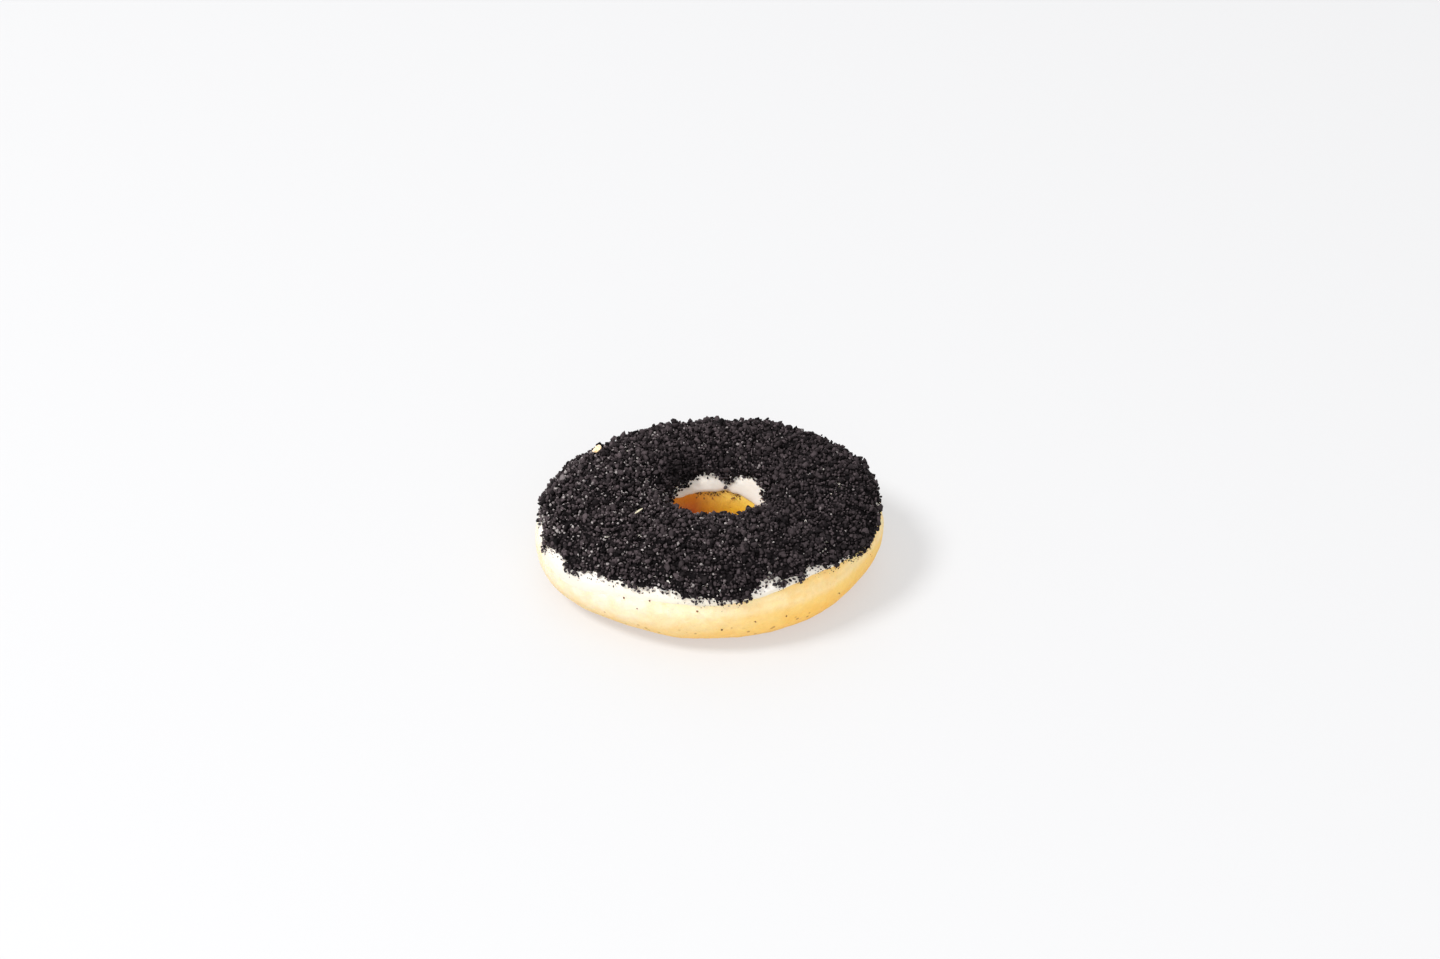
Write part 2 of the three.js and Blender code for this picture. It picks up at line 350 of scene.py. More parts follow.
class Nodes:
    """Builds a material's nodes with short calls."""

    def __init__(self, name):
        self.material = bpy.data.materials.new(name)
        self.material.use_nodes = True
        self.tree = self.material.node_tree
        self.shader = self.tree.nodes["Principled BSDF"]

    def set(self, **values):
        for socket, value in values.items():
            self.shader.inputs[socket.replace("_", " ")].default_value = value

    def link(self, output, socket):
        self.tree.links.new(output, self.shader.inputs[socket])

    def node(self, kind, inputs=None, **settings):
        made = self.tree.nodes.new(kind)
        for key, value in settings.items():
            setattr(made, key, value)
        for key, value in (inputs or {}).items():
            if isinstance(value, bpy.types.NodeSocket):
                self.tree.links.new(value, made.inputs[key])
            else:
                made.inputs[key].default_value = value
        return made

    def place(self):
        return self.node("ShaderNodeTexCoord").outputs["Object"]

    def noise(self, place, size_mm, detail, roughness=0.5, distortion=0.0):
        """Noise between 0 and 1 whose lumps are about size_mm across."""
        inputs = {
            "Vector": place,
            "Scale": 1 / (size_mm * MM),
            "Detail": detail,
            "Roughness": roughness,
            "Distortion": distortion,
        }
        return self.node("ShaderNodeTexNoise", inputs).outputs["Fac"]

    def cells(self, place, size_mm):
        return self.node("ShaderNodeTexVoronoi", {"Vector": place, "Scale": 1 / (size_mm * MM)})

    def chosen(self, cells, channel, above):
        """1 in the cells whose random colour is above a value in one channel, and 0 in the others."""
        colour = self.node("ShaderNodeSeparateColor", {"Color": cells.outputs["Color"]})
        return self.math("GREATER_THAN", colour.outputs[channel], above)

    def spots(self, cells, ragged, solid, gone, channel, above):
        """A ragged spot in each chosen cell, solid to one distance from its middle and gone at another."""
        near = self.ramp(self.math("ADD", cells.outputs["Distance"], ragged), (solid, 1.0), (gone, 0.0))
        return self.math("MULTIPLY", near, self.chosen(cells, channel, above))

    def value(self, name):
        return self.node("ShaderNodeAttribute", attribute_name=name).outputs["Fac"]

    def math(self, operation, first, second):
        return self.node("ShaderNodeMath", {0: first, 1: second}, operation=operation).outputs[0]

    def swing(self, noise, amount):
        """Noise between 0 and 1 made to swing round zero, by half of amount each way."""
        return self.math("MULTIPLY", self.math("SUBTRACT", noise, 0.5), amount)

    def ramp(self, factor, *stops):
        """A colour ramp. Each stop is a position and a linear colour or a grey."""
        made = self.node("ShaderNodeValToRGB", {"Fac": factor})
        elements = made.color_ramp.elements
        while len(elements) < len(stops):
            elements.new(0.5)
        for element, (position, colour) in zip(elements, stops):
            element.position = position
            if not isinstance(colour, tuple):
                colour = (colour, colour, colour)
            element.color = (*colour, 1)
        return made.outputs["Color"]

    def mix(self, factor, first, second, blend="MIX"):
        made = self.node("ShaderNodeMix", data_type="RGBA", blend_type=blend)
        for index, value in ((0, factor), (6, first), (7, second)):
            if isinstance(value, bpy.types.NodeSocket):
                self.tree.links.new(value, made.inputs[index])
            elif isinstance(value, tuple):
                made.inputs[index].default_value = (*value, 1)
            else:
                made.inputs[index].default_value = value
        return made.outputs[2]

    def bump(self, height, distance_mm, strength, normal=None):
        inputs = {"Height": height, "Distance": distance_mm * MM, "Strength": strength}
        if normal:
            inputs["Normal"] = normal
        return self.node("ShaderNodeBump", inputs).outputs["Normal"]


def dough_material():
    """Fried dough: golden below, a pale line where it floated, deep orange in the hole, and brown
    specks and frying marks. Light and shade are painted in by side: pale cream on the upper left, where
    the light falls, a deeper golden on the right away from it, and in the hole a lit right wall and a
    shaded left wall. Its vertex values are level, inside, one for the painted light and shade of each
    side, pale and marks."""
    nodes = Nodes("fried_dough")
    place = nodes.place()
    level = nodes.value("level")
    inside = nodes.value("inside")

    broad = nodes.noise(place, 14, 3)
    streaks = nodes.noise(place, 3.2, 5, 0.6, 0.6)
    warped = nodes.math("ADD", level, nodes.swing(broad, 0.10))
    warped = nodes.math("ADD", warped, nodes.swing(streaks, 0.07))
    crust = nodes.ramp(
        warped,
        (0.0, (0.88, 0.46, 0.10)),
        (0.12, (0.93, 0.57, 0.13)),
        (0.34, (0.96, 0.67, 0.20)),
        (0.50, (0.96, 0.74, 0.31)),
        (0.58, (0.96, 0.84, 0.58)),
        (0.67, (0.96, 0.83, 0.55)),
        (0.75, (0.94, 0.74, 0.38)),
        (1.0, (0.94, 0.70, 0.36)),
    )
    # Painted light: the upper dough on the left, which faces the light, is painted pale cream, as if washed
    # out by it.
    pale = nodes.math("MULTIPLY", nodes.value("pale"), nodes.ramp(streaks, (0.2, 0.7), (0.7, 1.0)))
    crust = nodes.mix(pale, crust, DOUGH_LIT_CREAM)
    patches = nodes.ramp(nodes.noise(place, 7, 4, 0.6, 0.5), (0.42, 0.0), (0.68, 1.0))
    crust = nodes.mix(nodes.math("MULTIPLY", patches, 0.5), crust, DOUGH_PATCH_TINT, "MULTIPLY")
    # Painted light and shade by side: outside, the crust is tinted a deeper golden on the right, away from
    # the light; in the hole, the right wall gets the lit colours and the left wall the shaded ones.
    side_lighting = nodes.value("side_lighting")
    crust = nodes.mix(nodes.math("MULTIPLY", side_lighting, 0.85), crust, DOUGH_SHADED_SIDE_TINT, "MULTIPLY")
    # The hole's dough in painted shade, for its left wall.
    hole_shaded = nodes.ramp(
        warped,
        (0.0, (0.50, 0.11, 0.003)),
        (0.45, (0.58, 0.13, 0.003)),
        (0.75, (0.84, 0.32, 0.03)),
    )
    # The hole's dough painted lit, for its right wall, which the light reaches.
    hole_lit = nodes.ramp(
        warped,
        (0.0, (1.0, 0.50, 0.012)),
        (0.45, (1.0, 0.62, 0.03)),
        (0.70, (1.0, 0.80, 0.22)),
    )
    colour = nodes.mix(inside, crust, nodes.mix(side_lighting, hole_shaded, hole_lit))

    mottle = nodes.ramp(nodes.noise(place, 1.6, 4, 0.65), (0.3, 0.80), (0.7, 1.0))
    colour = nodes.mix(0.38, colour, mottle, "MULTIPLY")
    fine = nodes.ramp(nodes.noise(place, 0.35, 3, 0.6), (0.35, 0.86), (0.65, 1.0))
    colour = nodes.mix(0.30, colour, fine, "MULTIPLY")

    ragged = nodes.swing(nodes.noise(place, 0.3, 3), 0.12)
    low_down = nodes.math("LESS_THAN", level, 0.5)
    specks = nodes.spots(nodes.cells(place, 3.1), ragged, 0.06, 0.13, "Red", 0.42)
    specks = nodes.math("MULTIPLY", specks, low_down)
    colour = nodes.mix(nodes.math("MULTIPLY", specks, 0.7), colour, DOUGH_SPECK)
    marks = nodes.spots(nodes.cells(place, 2.1), ragged, 0.15, 0.25, "Green", 0.3)
    marks = nodes.math("MULTIPLY", marks, nodes.value("marks"))
    colour = nodes.mix(nodes.math("MULTIPLY", marks, 0.85), colour, DOUGH_MARK)
    nodes.link(colour, "Base Color")

    roughness = nodes.ramp(nodes.noise(place, 2.5, 4), (0.3, 0.40), (0.7, 0.62))
    nodes.link(roughness, "Roughness")
    skin = nodes.bump(nodes.noise(place, 0.55, 5, 0.6), 0.10, 0.9)
    pores = nodes.ramp(nodes.cells(place, 1.5).outputs["Distance"], (0.08, 0.0), (0.22, 1.0))
    pitted = nodes.bump(pores, 0.10, 0.6, skin)
    wrinkles = nodes.bump(nodes.noise(place, 2.6, 4, 0.55, 0.4), 0.30, 0.7, pitted)
    nodes.link(wrinkles, "Normal")
    nodes.set(Subsurface_Weight=0.18, Subsurface_Scale=0.0015, Specular_IOR_Level=0.25)
    nodes.shader.inputs["Subsurface Radius"].default_value = (1.0, 0.45, 0.15)
    return nodes.material


def icing_material():
    """White sugar icing with a soft gloss, faint cream clouds and a dusting of dark crumb."""
    nodes = Nodes("white_icing")
    place = nodes.place()
    clouds = nodes.ramp(nodes.noise(place, 6, 3), (0.3, ICING_COLOURS[0]), (0.7, ICING_COLOURS[1]))
    rim = nodes.math("ADD", nodes.value("rim"), nodes.swing(nodes.noise(place, 2.2, 4), 0.5))
    clouds = nodes.mix(nodes.ramp(rim, (0.1, 0.0), (0.9, 1.0)), ICING_RIM, clouds)
    dust = nodes.cells(place, 0.9)
    near = nodes.math("LESS_THAN", dust.outputs["Distance"], 0.12)
    speck = nodes.math("MULTIPLY", near, nodes.chosen(dust, "Red", 0.93))
    colour = nodes.mix(nodes.math("MULTIPLY", speck, 0.55), clouds, ICING_SPECK)
    nodes.link(colour, "Base Color")
    nodes.link(nodes.ramp(nodes.noise(place, 1.8, 4), (0.3, 0.26), (0.7, 0.46)), "Roughness")
    ripples = nodes.bump(nodes.noise(place, 3.0, 3, 0.5, 0.3), 0.22, 0.6)
    nodes.link(nodes.bump(nodes.noise(place, 0.5, 3), 0.03, 0.5, ripples), "Normal")
    nodes.set(Subsurface_Weight=0.22, Subsurface_Scale=0.0012, Specular_IOR_Level=0.5)
    nodes.shader.inputs["Subsurface Radius"].default_value = (1.0, 0.8, 0.6)
    return nodes.material


def crumb_material(name, dark, light, pale):
    """Biscuit crumb. The value tone is one number a grain and picks a colour from dark to pale."""
    nodes = Nodes(name)
    place = nodes.place()
    grit = nodes.noise(place, 0.32, 4, 0.65)
    tone = nodes.math("ADD", nodes.value("tone"), nodes.swing(grit, 0.3))
    nodes.link(nodes.ramp(tone, (0.05, dark), (0.72, light), (1.0, pale)), "Base Color")
    nodes.link(nodes.ramp(grit, (0.35, 0.55), (0.65, 0.85)), "Roughness")
    nodes.link(nodes.bump(grit, 0.24, 1.0), "Normal")
    nodes.set(Specular_IOR_Level=0.08)
    return nodes.material


def pale_material(name, dark, light):
    """A dry, mottled surface between two colours, for the pale chip and the sliver."""
    nodes = Nodes(name)
    place = nodes.place()
    nodes.link(nodes.ramp(nodes.noise(place, 0.6, 4, 0.6), (0.3, dark), (0.7, light)), "Base Color")
    nodes.link(nodes.ramp(nodes.noise(place, 0.3, 3), (0.3, 0.5), (0.7, 0.7)), "Roughness")
    nodes.link(nodes.bump(nodes.noise(place, 0.3, 4), 0.08, 0.8), "Normal")
    return nodes.material


# ---------------------------------------------------------------- dough and icing

DOUGH_TURNS, DOUGH_TILTS = 460, 190
# The level of the line where the dough floated in the oil, and the depths of the groove and of the
# fine creases along it. The skin has a finer relief everywhere.
PROOF_LEVEL = 15.6
PROOF_GROOVE = 0.30
CREASE_DEPTH = 0.16
SKIN_RELIEF = 0.07


def dough_lift(points, tilt):
    """How far the real skin of the dough lies off the even ring, at points of that ring."""
    height = points[..., 2]
    free = smoothstep(0.2, 3.0, height)
    lift = swell(points) * free
    proof = PROOF_LEVEL + 0.5 * noise(points, 12, 41)
    near_proof = np.exp(-(((height - proof) / 2.2) ** 2))
    bare = 1 - 0.9 * facing(np.arctan2(points[..., 1], points[..., 0]), ICING_LEFT_TURN)
    lift = lift - PROOF_GROOVE * bare * np.exp(-(((height - proof) / 0.9) ** 2)) * (np.cos(tilt) > 0)
    creases = np.clip(layered_noise(points * (1, 1, 0.35), 2.4, 42), 0, 1)
    return lift - CREASE_DEPTH * creases * near_proof + SKIN_RELIEF * layered_noise(points, 1.6, 43) * free


def build_dough(material):
    turn, tilt = grid(full_circle(DOUGH_TURNS), full_circle(DOUGH_TILTS))
    points, normals = ring_points(turn, tilt)
    level = points[..., 2] / DOUGH_HEIGHT
    points = points + normals * dough_lift(points, tilt)[..., None]
    points[..., 2] = np.maximum(points[..., 2], 0)
    piece = make_ring("fried_dough_ring", points)
    outside = np.cos(tilt) > 0
    add_values(piece, "level", level)
    add_values(piece, "inside", smoothstep(0.25, -0.45, np.cos(tilt)))
    # Painted light and shade by side: outside, 1 on the right, away from the light; in the hole, 1 on the
    # lit right wall.
    add_values(piece, "side_lighting", np.where(outside, facing(turn, 335), facing(turn, 30) ** 0.8))
    # Painted light: the upper dough on the left, which faces the light, is painted pale.
    left = 0.95 * facing(turn, ICING_LEFT_TURN) ** 1.8
    add_values(piece, "pale", left * smoothstep(0.06, 0.50, level) * outside)
    line = np.exp(-(((level - 0.26 - 0.03 * noise(points, 9, 44)) / 0.07) ** 2))
    add_values(piece, "marks", np.minimum(1, 1.5 * line * facing(turn, 285) ** 3) * outside)
    finish_piece(piece, "dough", material, "dough_ring")


ICING_TURNS, ICING_TILTS = 460, 90
# How far the icing's edge runs into the dough's skin and its underside lies below it, so no gap shows.
ICING_TUCK = 0.06
ICING_SINK = 0.3


def icing_rim(turn, tilt):
    """How far from its edges the icing is at a place, from 0 at an edge to 1 where it is full."""
    start, end = icing_outer_edge(turn), icing_inner_edge(turn)
    soft = facing(turn, ICING_LEFT_TURN) ** 2
    outer = (tilt - start) / np.radians(5 + 20 * soft)
    inner = (end - tilt) / math.radians(6)
    return np.clip(np.minimum(outer, inner), 0, 1), soft


def icing_lift(turn, tilt):
    """The level of the icing's top over the dough: a rounded lip at its edges, a soft one on the left."""
    rim, soft = icing_rim(turn, tilt)
    lip = (1 - soft) * np.sqrt(1 - (1 - rim) ** 2) + soft * smoothstep(0, 1, rim)
    points, _ = ring_points(turn, tilt)
    body = ICING_THICKNESS * lip * (1 + 0.16 * noise(points, 5, 51) + 0.06 * noise(points, 2, 52))
    tucked = smoothstep(0.35, 0.0, rim)
    return body + swell(points) * (1 - tucked) + (dough_lift(points, tilt) - ICING_TUCK) * tucked


def underside(turns, tilt, step):
    """Turns and tilts for the underside of a layer, back from its far edge, one row in each step."""
    below = tilt[:, ::-1][:, 1:-1][:, ::step]
    return np.broadcast_to(turns[:, None], below.shape), below


def build_icing(material):
    turns = full_circle(ICING_TURNS)
    start, end = icing_outer_edge(turns)[:, None], icing_inner_edge(turns)[:, None]
    # Rows lie closer together near the two lips.
    share = np.linspace(0, 1, ICING_TILTS)[None]
    share = share - 0.11 * np.sin(2 * math.pi * share)
    tilt = start + (end - start) * share
    turn = np.broadcast_to(turns[:, None], tilt.shape)
    top, _ = ring_points(turn, tilt, icing_lift(turn, tilt))
    turn_below, tilt_below = underside(turns, tilt, 3)
    points_below, _ = ring_points(turn_below, tilt_below)
    base_lift = np.minimum(swell(points_below), dough_lift(points_below, tilt_below)) - ICING_SINK
    bottom, _ = ring_points(turn_below, tilt_below, base_lift)
    section = np.concatenate((top, bottom), axis=1)
    piece = make_ring("icing_coat", section)
    rim = np.zeros(section.shape[:2])
    rim[:, :ICING_TILTS] = icing_rim(turn, tilt)[0]
    add_values(piece, "rim", rim)
    finish_piece(piece, "icing", material, "icing")


# ---------------------------------------------------------------- crumbs

BED_TURNS, BED_TILTS = 640, 120
# The bed ends an inset inside the crumbs' edge, and has its full thickness a shoulder further in.
BED_INSET = math.radians(3.5)
BED_SHOULDER = math.radians(12)
# The bed gets the darkest tone: the crumbs' own dark colour, deepened as painted shade in the gaps between
# the loose grains.
BED_TONE_WITH_GAP_SHADE = 0.04
# How far the bed's edge and its base lie below the icing's top.
BED_EDGE_SINK, BED_BASE_SINK = 0.25, 0.6
# How many degrees inside the crumbs' edge the loose grains lie on the bed's full thickness.
BED_FULL_AT = 14
# The space between loose grains, and how far they are shaken out of line, as a share of it.
GRAIN_GAP = 0.78
GRAIN_SHAKE = 0.30
# The middle size of the loose grains, how much the sizes vary, and the least and the greatest.
GRAIN_SIZE, GRAIN_SPREAD, GRAIN_LIMITS = 0.80, 0.42, (0.35, 1.8)
GRAIN_SHAPES = 24
# A small grain whose random share is above the first number gets the pale tone after it.
SMALL_GRAIN = 0.75
PALE_GRAINS = ((0.98, 0.82), (0.995, 1.1))
# How far round the pale chip, and how far below its middle, the bare place lies that it is given.
CHIP_CLEARING, CHIP_CLEARING_DROP = 1.5, 0.4
# How many times the faces of an octahedron are split to make a grain, and to make a flake.
GRAIN_SPLITS, FLAKE_SPLITS = 1, 3
SECTORS = ("right", "back_right", "back_left", "left", "front_left", "front_right")
draw = np.random.default_rng(20)


def crumb_heave(points):
    """The low heaps and hollows in which the crumbs lie, as a lift."""
    return np.maximum(0.46 * noise(points, 4.2, 65) + 0.34 * noise(points, 2.3, 66), -0.35)


def from_crumb_edge(turn, tilt):
    """How far inside the crumbed part a place lies, in degrees of tilt, uneven by clusters."""
    points, _ = ring_points(turn, tilt)
    clusters = 4.0 * noise(points, 2.8, 71) + 2.2 * noise(points, 1.2, 72)
    return np.degrees(np.minimum(tilt - crumb_outer_edge(turn), crumb_inner_edge(turn) - tilt)) + clusters


def build_bed(material):
    """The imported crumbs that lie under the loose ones, lumpy at the scale of the grains."""
    turns = full_circle(BED_TURNS)
    start = crumb_outer_edge(turns)[:, None] + BED_INSET
    end = crumb_inner_edge(turns)[:, None] - BED_INSET
    tilt = start + (end - start) * np.linspace(0, 1, BED_TILTS)[None]
    turn = np.broadcast_to(turns[:, None], tilt.shape)
    points, _ = ring_points(turn, tilt)
    lumps = crumb_heave(points) + 0.24 * noise(points, 1.1, 62) + 0.16 * noise(points, 0.6, 63)
    from_edge = np.minimum(tilt - start, end - tilt) / BED_SHOULDER
    rise = np.sqrt(np.clip(from_edge, 0, 1)) * (BED_THICKNESS + 0.1 + lumps)
    top, _ = ring_points(turn, tilt, icing_lift(turn, tilt) - BED_EDGE_SINK + rise)
    turn_below, tilt_below = underside(turns, tilt, 4)
    base_lift = icing_lift(turn_below, tilt_below) - BED_BASE_SINK
    bottom, _ = ring_points(turn_below, tilt_below, base_lift)
    section = np.concatenate((top, bottom), axis=1)
    piece = make_ring("crumb_bed", section)
    # The bed's dark tone is partly painted shade in the gaps between the loose grains.
    tone = np.full(section.shape[:2], BED_TONE_WITH_GAP_SHADE)
    tone[:, :BED_TILTS] += 0.12 * noise(points, 1.0, 64)
    add_values(piece, "tone", tone)
    finish_piece(piece, "crumbs", material, "crumb_topping")


def octahedron(splits):
    """Points on a unit sphere and triangles, from an octahedron whose faces are split so many times."""
    points = [(1, 0, 0), (-1, 0, 0), (0, 1, 0), (0, -1, 0), (0, 0, 1), (0, 0, -1)]
    faces = [(0, 2, 4), (2, 1, 4), (1, 3, 4), (3, 0, 4), (2, 0, 5), (1, 2, 5), (3, 1, 5), (0, 3, 5)]
    points = [np.array(point, float) for point in points]
    for _ in range(splits):
        middles, split = {}, []
        for face in faces:
            mids = []
            for first, second in zip(face, face[1:] + face[:1]):
                key = (min(first, second), max(first, second))
                if key not in middles:
                    middles[key] = len(points)
                    middle = points[first] + points[second]
                    points.append(middle / np.linalg.norm(middle))
                mids.append(middles[key])
            a, b, c = face
            ab, bc, ca = mids
            split += [(a, ab, ca), (ab, b, bc), (ca, bc, c), (ab, bc, ca)]
        faces = split
    return np.array(points), np.array(faces)


def crumb_shapes():
    """Broken, uneven grains about one unit across."""
    points, faces = octahedron(GRAIN_SPLITS)
    shapes = []
    for _ in range(GRAIN_SHAPES):
        radius = 0.5 * draw.uniform(0.58, 1.35, len(points))
        shape = points * radius[:, None]
        for _ in range(3):
            flat = draw.normal(size=3)
            flat /= np.linalg.norm(flat)
            beyond = np.clip(shape @ flat - draw.uniform(0.16, 0.32), 0, None)
            shape = shape - beyond[:, None] * flat
        shapes.append(shape)
    return np.array(shapes), faces


def random_turns(count):
    """count random rotation matrices."""
    quaternion = draw.normal(size=(count, 4))
    quaternion /= np.linalg.norm(quaternion, axis=1)[:, None]
    w, x, y, z = quaternion.T
    return np.stack((
        1 - 2 * (y * y + z * z), 2 * (x * y - z * w), 2 * (x * z + y * w),
        2 * (x * y + z * w), 1 - 2 * (x * x + z * z), 2 * (y * z - x * w),
        2 * (x * z - y * w), 2 * (y * z + x * w), 1 - 2 * (x * x + y * y),
    ), -1).reshape(count, 3, 3)


def octahedral_places(splits):
    """Places from -1 to 1 on a square for each corner of each face of a split octahedron."""
    points, faces = octahedron(splits)
    corners = points[faces]
    corners = corners / np.abs(corners).sum(axis=-1, keepdims=True)
    side = np.sign(corners.mean(axis=1))[:, None, :]
    folded = (1 - np.abs(corners[..., 1::-1])) * side[..., :2]
    return np.where(side[..., 2:] > 0, corners[..., :2], folded)


def grain_mesh(name, centres, sizes, tone):
    """A piece with one grain at each centre. Each grain has its own cell of the surface map."""
    count = len(centres)
    shapes, faces = crumb_shapes()
    picked = shapes[draw.integers(0, GRAIN_SHAPES, count)]
    stretch = draw.uniform(0.7, 1.3, (count, 1, 3))
    corners = np.einsum("nij,nkj->nki", random_turns(count), picked * stretch)
    corners = corners * sizes[:, None, None] + centres[:, None, :]
    offsets = np.arange(count)[:, None, None] * shapes.shape[1]
    piece = make_mesh(name, corners.reshape(-1, 3), (faces[None] + offsets).reshape(-1, 3))

    across = math.ceil(math.sqrt(count))
    cell = np.stack((np.arange(count) % across, np.arange(count) // across), -1)[:, None, None, :]
    add_map(piece, (cell + 0.5 + 0.46 * octahedral_places(GRAIN_SPLITS)[None]) / across)
    add_values(piece, "tone", np.repeat(tone, shapes.shape[1]))
    return piece


def spread_over_top(gap):
    """Turns and tilts spaced about gap apart over the crumbed top, shaken out of line."""
    turns, tilts = [], []
    # Rows are spaced by the length of the path over the ring, as a mean of four turns.
    fine = np.linspace(0.1, math.pi - 0.1, 900)
    path = np.stack([ring_points(np.full_like(fine, angle), fine)[0] for angle in (0.5, 2.0, 3.6, 5.0)])
    along = np.linalg.norm(np.diff(path, axis=1), axis=-1).mean(axis=0).cumsum()
    rows = np.interp(np.arange(0, along[-1], gap), along, fine[1:])
    circle = np.linspace(0, 2 * math.pi, 361)
    for row in rows:
        loop, _ = ring_points(circle, np.full_like(circle, row))
        lengths = np.concatenate(([0], np.linalg.norm(np.diff(loop, axis=0), axis=1).cumsum()))
        count = int(lengths[-1] / gap)
        at = (np.arange(count) + draw.uniform(0, 1)) * gap + draw.normal(0, GRAIN_SHAKE * gap, count)
        turns.append(np.interp(at % lengths[-1], lengths, circle))
        step = (fine[1] - fine[0]) * gap / (along[1] - along[0])
        tilts.append(row + draw.normal(0, GRAIN_SHAKE, count) * step * 0.5)
    return np.concatenate(turns), np.concatenate(tilts)


def loose_grains():
    """Turns, centres and sizes of the loose crumbs."""
    turn, tilt = spread_over_top(GRAIN_GAP)
    from_edge = from_crumb_edge(turn, tilt)
    chance = smoothstep(-1.6, 0.8, from_edge) + 0.035 * smoothstep(-8, -2, from_edge)
    keep = draw.uniform(0, 1, len(turn)) < chance
    turn, tilt, from_edge = turn[keep], tilt[keep], from_edge[keep]
    size = np.clip(GRAIN_SIZE * np.exp(draw.normal(0, GRAIN_SPREAD, len(turn))), *GRAIN_LIMITS)
    size *= 0.55 + 0.45 * smoothstep(-3, 4, from_edge)
    points, _ = ring_points(turn, tilt)
    bed = (BED_THICKNESS + crumb_heave(points)) * smoothstep(0, BED_FULL_AT, from_edge)
    lift = icing_lift(turn, tilt) + bed + size * draw.uniform(0.0, 0.6, len(turn))
    centres, _ = ring_points(turn, tilt, lift)
    return turn, centres, size


def heaped_grains(heaps=420):
    """Small heaps of crumbs that stand out of the bed."""
    turn, tilt = spread_over_top(GRAIN_GAP)
    inside = from_crumb_edge(turn, tilt) > 1.5
    turn, tilt = turn[inside], tilt[inside]
    chosen = draw.choice(len(turn), heaps, replace=False)
    groups = []
    for index in chosen:
        grains = draw.integers(3, 9)
        at = turn[index:index + 1], tilt[index:index + 1]
        foot, normal = ring_points(*at)
        full = smoothstep(0, BED_FULL_AT, from_crumb_edge(*at))
        base = icing_lift(*at) + full * (BED_THICKNESS + crumb_heave(foot))
        spread = draw.normal(0, 0.7, (grains, 3))
        out = spread @ normal[0]
        spread = spread - out[:, None] * normal[0] * 0.9
        rise = base + 0.25 + draw.uniform(0.1, 0.9, grains) * np.exp(-(spread**2).sum(axis=1))
        centres = foot + normal * rise[:, None] + spread
        sizes = np.clip(0.9 * np.exp(draw.normal(0, 0.28, grains)), 0.4, 1.4)
        groups.append((np.full(grains, turn[index]), centres, sizes))
    return tuple(np.concatenate(parts) for parts in zip(*groups))


def edge_dust(count=380):
    """Fine crumbs fallen just outside the crumbs' outer edge."""
    turn = draw.uniform(0, 2 * math.pi, count)
    off = np.abs(draw.normal(0, 3.6, count)) + 0.5
    tilt = crumb_outer_edge(turn) - np.radians(off)
    size = np.clip(draw.normal(0.40, 0.13, count), 0.2, 0.8) * np.exp(-off / 12)
    points, _ = ring_points(turn, tilt)
    on_icing = tilt > icing_outer_edge(turn)
    level = np.where(on_icing, icing_lift(turn, tilt), dough_lift(points, tilt))
    centres, _ = ring_points(turn, tilt, level + 0.15 * size)
    return turn, centres, size


def hole_dust(count=80):
    """Fine crumbs caught along the lower edge of the icing at the back of the hole."""
    turn = np.radians(draw.uniform(60, 118, count))
    tilt = icing_inner_edge(turn) + np.radians(draw.normal(2.0, 3.0, count))
    size = np.clip(draw.normal(0.40, 0.14, count), 0.2, 0.75)
    points, _ = ring_points(turn, tilt)
    centres, _ = ring_points(turn, tilt, swell(points) + 0.15)
    return centres, size


def grain_tones(centres, sizes):
    """One tone a grain: mostly dark, some greyer, and a few of the small ones pale. The crumbs are a
    little greyer on the left, as painted light on the side the light comes from, and blackest behind the
    left end of the hole, as painted shade on the slope there that faces away from the light."""
    tone = 0.90 * draw.beta(1.25, 2.0, len(sizes)) / np.clip(sizes, 0.8, 1.5) ** 0.7
    # Painted light: the grains are a little lighter on the left, the side that the light comes from.
    tone *= 1.04 - 0.26 * centres[:, 0] / RING_HALF_WIDTH
    # Painted shade: the grains are darkest on the slope behind the left end of the hole, which faces away
    # from the light.
    tone *= 1 - 0.75 * np.exp(-(((centres[:, 0] + 6) / 7) ** 2) - ((centres[:, 1] - 11) / 5) ** 2)
    speck = draw.uniform(0, 1, len(sizes))
    for above, pale_tone in PALE_GRAINS:
        tone[(speck > above) & (sizes < SMALL_GRAIN)] = pale_tone
    return tone


def build_grains(material):
    """The loose crumbs, in one piece for each sector of the ring."""
    groups = [loose_grains(), heaped_grains(), edge_dust()]
    turn, centres, size = (np.concatenate(parts) for parts in zip(*groups))
    # The pale chip lies bare.
    away = np.linalg.norm(centres - box_centre("pale_chip") + (0, 0, CHIP_CLEARING_DROP), axis=1)
    clear = away > CHIP_CLEARING + size / 4
    turn, centres, size = turn[clear], centres[clear], size[clear]
    from_first = (turn + math.pi / len(SECTORS)) % (2 * math.pi)
    sector = np.floor(from_first / (2 * math.pi) * len(SECTORS)).astype(int)
    for index, name in enumerate(SECTORS):
        mine = sector == index
        tones = grain_tones(centres[mine], size[mine])
        piece = grain_mesh(f"crumbs_{name}", centres[mine], size[mine], tones)
        finish_piece(piece, "crumbs", material)


# ---------------------------------------------------------------- single pieces

# How widely a clump's grains are strewn along the ring, across it and off it, and how deep they go.
CLUMP_SPREAD = (0.95, 0.7, 0.3)
CLUMP_DEPTH = 1.9
# How high a stray crumb's middle stands off the dough, as a share of its size.
STRAY_RISE = 0.18
CHIP_SIZE = np.array((3.2, 2.5, 1.0))
CHIP_SINK = 0.55
SLIVER_WIDTH, SLIVER_THICKNESS, SLIVER_BEND = 0.55, 0.3, 0.14


